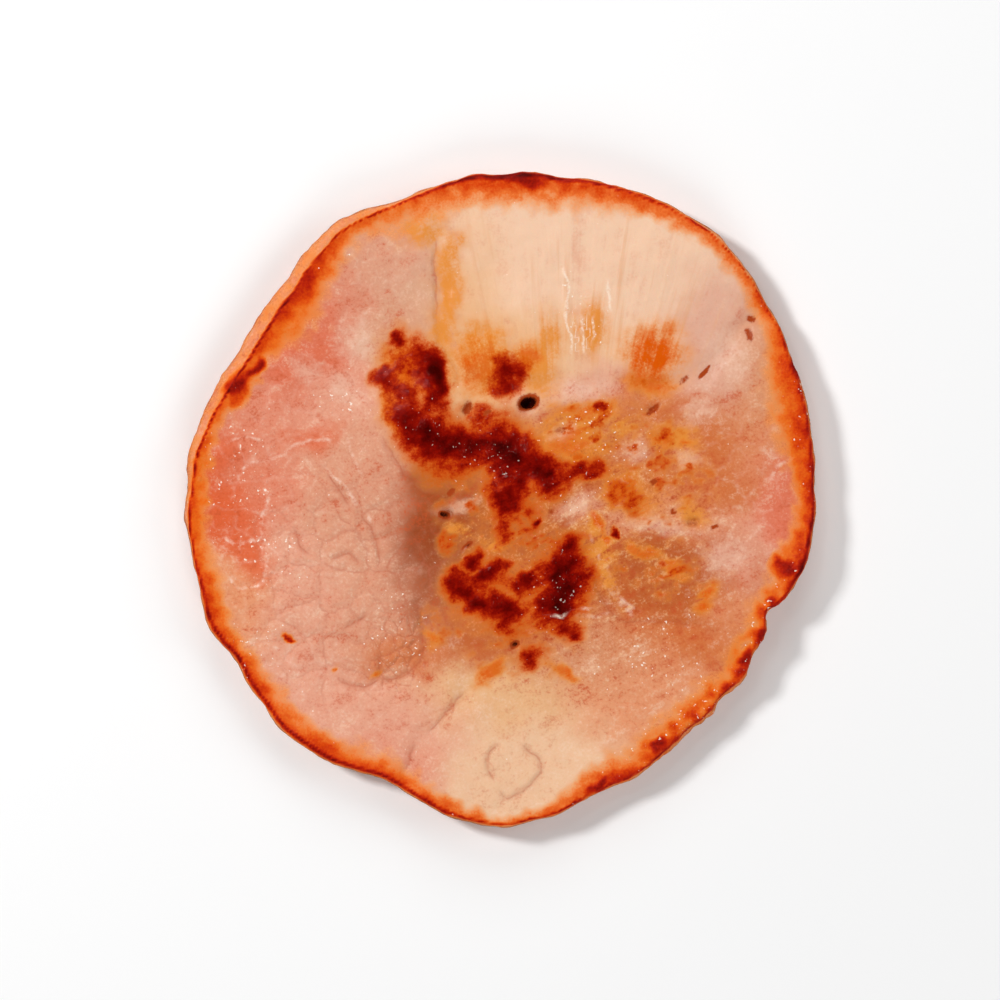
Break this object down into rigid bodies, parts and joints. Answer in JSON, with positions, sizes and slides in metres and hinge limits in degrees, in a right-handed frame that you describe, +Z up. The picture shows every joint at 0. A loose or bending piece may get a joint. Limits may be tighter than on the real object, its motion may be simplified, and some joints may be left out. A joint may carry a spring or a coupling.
{
  "type": "canadian bacon slice",
  "caption": "Round slice of pan-fried cured pork loin with a browned, puckered rim, a lightly curled edge, seared patches and a few small pits in its upper face.",
  "frame": {"origin": "under the middle of the slice's bounding box, on the surface that it lies on", "axes": "+Z up through the thickness, +X to the right and +Y away as the slice is seen from above in the picture"},
  "size_m": [0.084, 0.0874, 0.006],
  "materials": {
    "fried_pork": "satin"
  },
  "bodies": {
    "root": {"bacon_slice": "fried_pork"}
  },
  "joints": []
}
